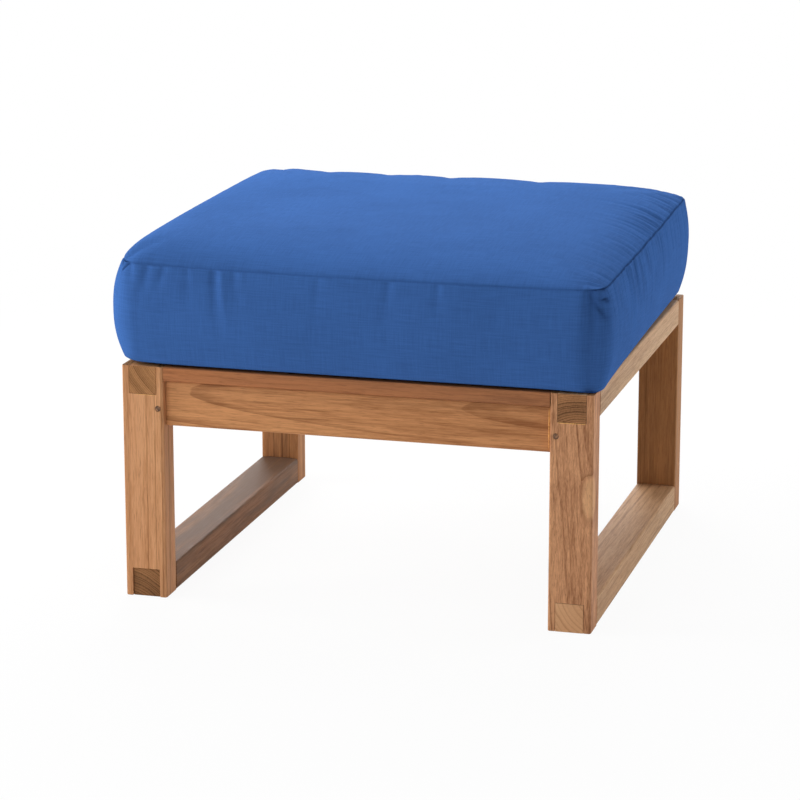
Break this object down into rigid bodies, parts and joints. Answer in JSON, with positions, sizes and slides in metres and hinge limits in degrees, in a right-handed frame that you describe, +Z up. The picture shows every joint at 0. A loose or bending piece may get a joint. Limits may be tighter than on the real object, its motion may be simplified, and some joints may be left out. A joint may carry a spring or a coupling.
{
  "type": "outdoor ottoman footstool",
  "caption": "Teak sled-frame outdoor footstool with a slatted seat, exposed through tenons and a lift-off boxed cushion with a rear zipper.",
  "frame": {"origin": "on the floor, under the middle of the frame and the cushion", "axes": "+X right and +Y back as seen from the front, +Z up"},
  "size_m": [0.6486, 0.6342, 0.4667],
  "materials": {
    "teak": "bare sanded teak, warm tan with darker straight and cathedral grain",
    "peg_wood": "end grain of a teak peg",
    "cushion_fabric": "plain-weave outdoor acrylic, matt blue",
    "foam": "open-cell outdoor foam",
    "fibre": "white polyester fibre",
    "zipper_tape": "woven zipper tape",
    "zipper_coil": "moulded nylon coil",
    "slider_metal": "satin zinc alloy",
    "steel": "stainless steel"
  },
  "bodies": {
    "frame": {"left_front_post": "teak", "left_front_peg": "peg_wood", "left_rear_post": "teak", "left_rear_peg": "peg_wood", "left_top_rail": "teak", "left_bottom_rail": "teak", "left_slat_cleat": "teak", "left_cleat_screw_1": "steel", "left_cleat_screw_2": "steel", "right_front_post": "teak", "right_front_peg": "peg_wood", "right_rear_post": "teak", "right_rear_peg": "peg_wood", "right_top_rail": "teak", "right_bottom_rail": "teak", "right_slat_cleat": "teak", "right_cleat_screw_1": "steel", "right_cleat_screw_2": "steel", "front_apron": "teak", "rear_apron": "teak", "seat_bearer": "teak", "seat_slat_1": "teak", "seat_slat_1_left_screw": "steel", "seat_slat_1_right_screw": "steel", "seat_slat_2": "teak", "seat_slat_2_left_screw": "steel", "seat_slat_2_right_screw": "steel", "seat_slat_3": "teak", "seat_slat_3_left_screw": "steel", "seat_slat_3_right_screw": "steel", "seat_slat_4": "teak", "seat_slat_4_left_screw": "steel", "seat_slat_4_right_screw": "steel", "seat_slat_5": "teak", "seat_slat_5_left_screw": "steel", "seat_slat_5_right_screw": "steel", "seat_slat_6": "teak", "seat_slat_6_left_screw": "steel", "seat_slat_6_right_screw": "steel", "seat_slat_7": "teak", "seat_slat_7_left_screw": "steel", "seat_slat_7_right_screw": "steel"},
    "cushion": {"cover_top_panel": "cushion_fabric", "cover_boxing": "cushion_fabric", "cover_bottom_panel": "cushion_fabric", "foam_core": "foam", "fibre_pad": "fibre", "zipper_upper_tape": "zipper_tape", "zipper_lower_tape": "zipper_tape", "zipper_coil": "zipper_coil", "zipper_closed_end_stop": "zipper_coil", "zipper_open_end_stop": "zipper_coil"},
    "zipper_slider": {"zipper_slider": "slider_metal"},
    "zipper_pull": {"zipper_pull": "slider_metal"}
  },
  "joints": [
    {"name": "cushion_lift", "type": "slide", "parent": "frame", "child": "cushion", "axis": [0, 0, 1], "range_m": [0, 0.25]},
    {"name": "zipper_slide", "type": "slide", "parent": "cushion", "child": "zipper_slider", "axis": [-1, 0, 0], "range_m": [0, 0.4778]},
    {"name": "pull_hinge", "type": "hinge", "parent": "zipper_slider", "child": "zipper_pull", "pos_m": [0.2389, 0.31857, 0.37705], "axis": [1, 0, 0], "range_deg": [0, 150]}
  ]
}
